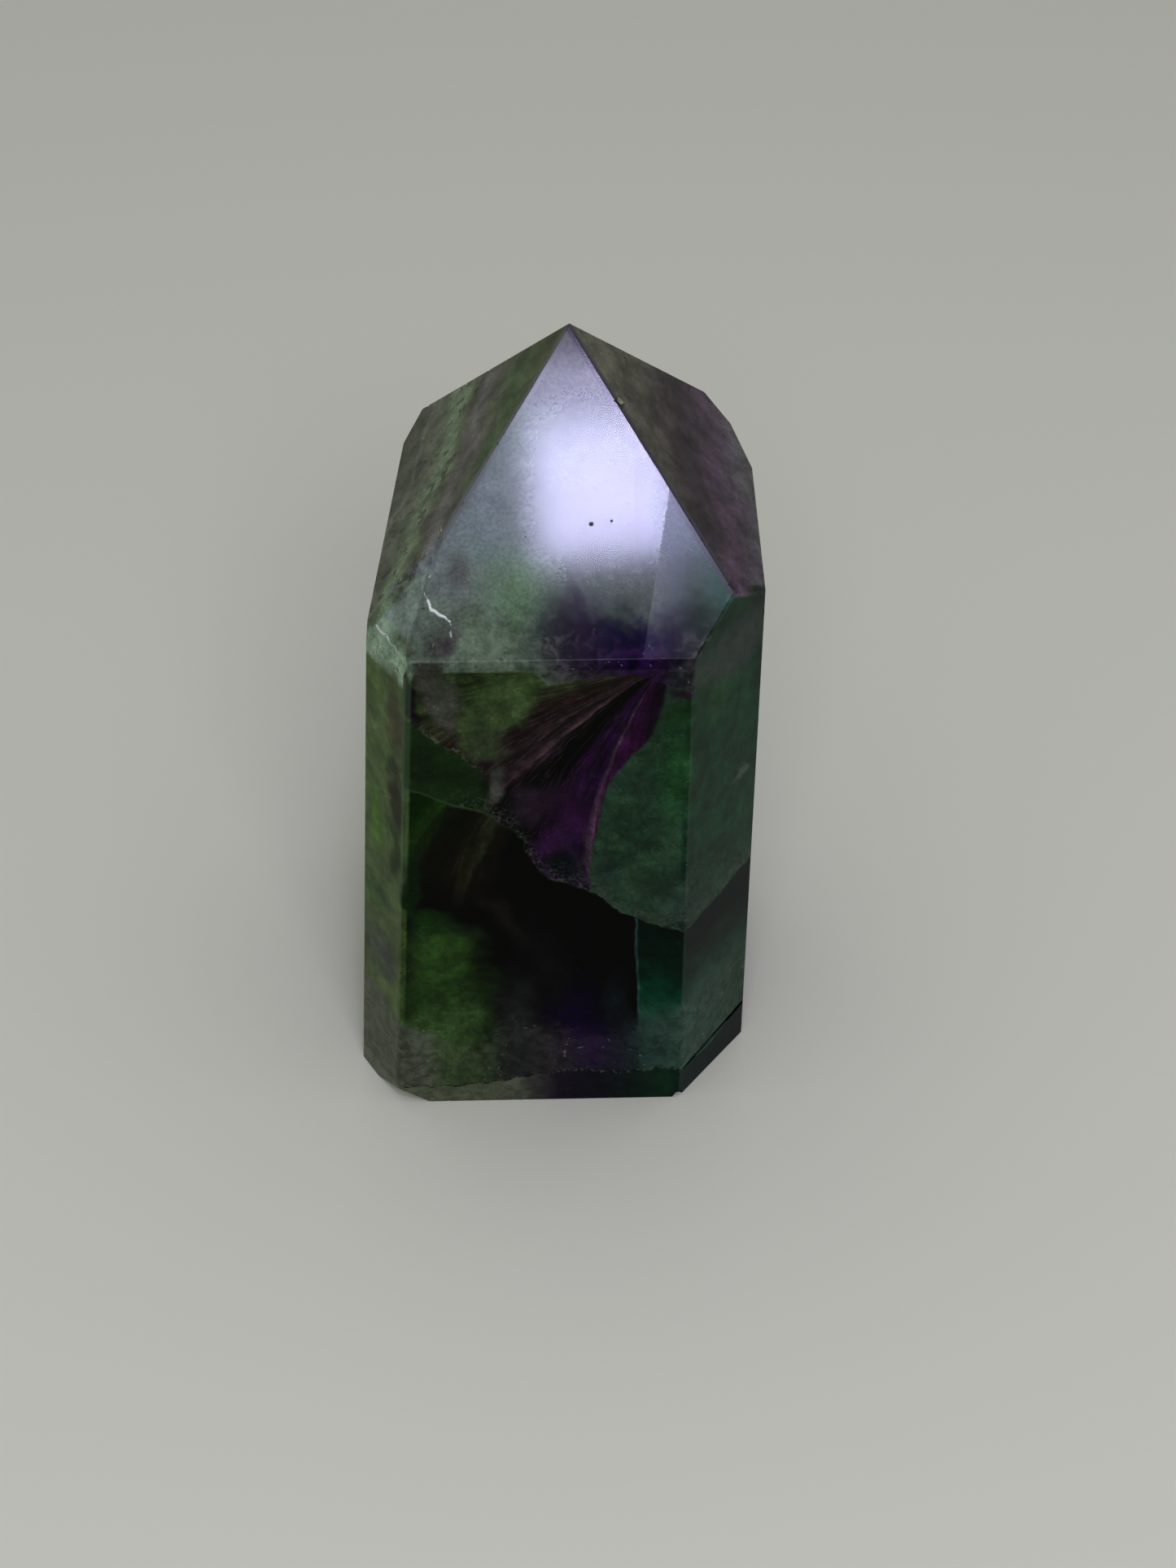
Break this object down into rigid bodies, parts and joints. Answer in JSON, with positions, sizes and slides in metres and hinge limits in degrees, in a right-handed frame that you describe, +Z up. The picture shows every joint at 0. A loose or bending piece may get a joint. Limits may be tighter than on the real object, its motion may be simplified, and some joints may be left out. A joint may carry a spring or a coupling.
{
  "type": "fluorite point",
  "caption": "Polished crystal point: a squarish faceted bar of banded green and violet fluorite on a flat sawn base, ending in a steep faceted tip.",
  "frame": {"origin": "middle of the flat base", "axes": "+Z up from the base to the tip, -Y out of the broad front side, +X to the right"},
  "size_m": [0.0382, 0.0364, 0.075],
  "materials": {
    "fluorite": "polished natural fluorite, see-through, banded green, yellow-green, teal and violet, with milky veils and cracks inside"
  },
  "bodies": {
    "root": {"fluorite_point": "fluorite"}
  },
  "joints": []
}
